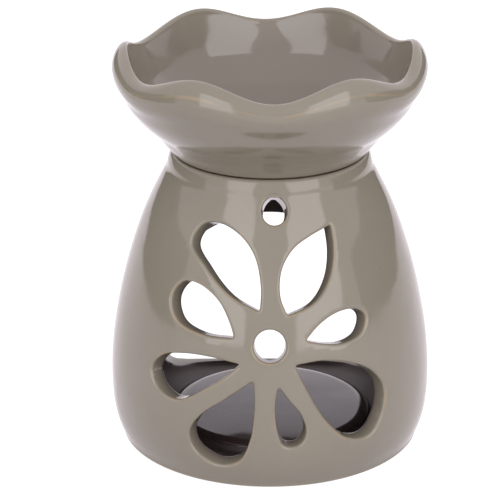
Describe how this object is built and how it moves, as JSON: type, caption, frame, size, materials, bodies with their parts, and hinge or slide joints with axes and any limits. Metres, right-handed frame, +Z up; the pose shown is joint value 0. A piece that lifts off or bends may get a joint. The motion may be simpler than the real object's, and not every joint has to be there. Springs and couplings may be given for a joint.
{
  "type": "wax melt burner",
  "caption": "Round pierced earthenware burner for a tealight, open at the back, with a lobed wavy-rimmed dish for wax or oil that lifts off its mouth.",
  "frame": {"origin": "on the table, under the middle of the whole; the axis of the round body stands 1.25 mm behind it", "axes": "+Z up along the axis of the body; the pierced flower faces -Y and the candle opening faces +Y"},
  "size_m": [0.0946, 0.092, 0.1195],
  "materials": {
    "body_glaze": "glossy warm taupe-grey glaze over tan earthenware, thinner and tan at the edges",
    "dish_glaze": "glossy warm taupe-grey glaze over tan earthenware, thinner and tan at the edges"
  },
  "bodies": {
    "burner": {"burner_body": "body_glaze"},
    "dish": {"wax_dish": "dish_glaze"}
  },
  "joints": [
    {"name": "dish_lift", "type": "slide", "parent": "burner", "child": "dish", "axis": [0, 0, 1], "range_m": [0, 0.04]}
  ]
}
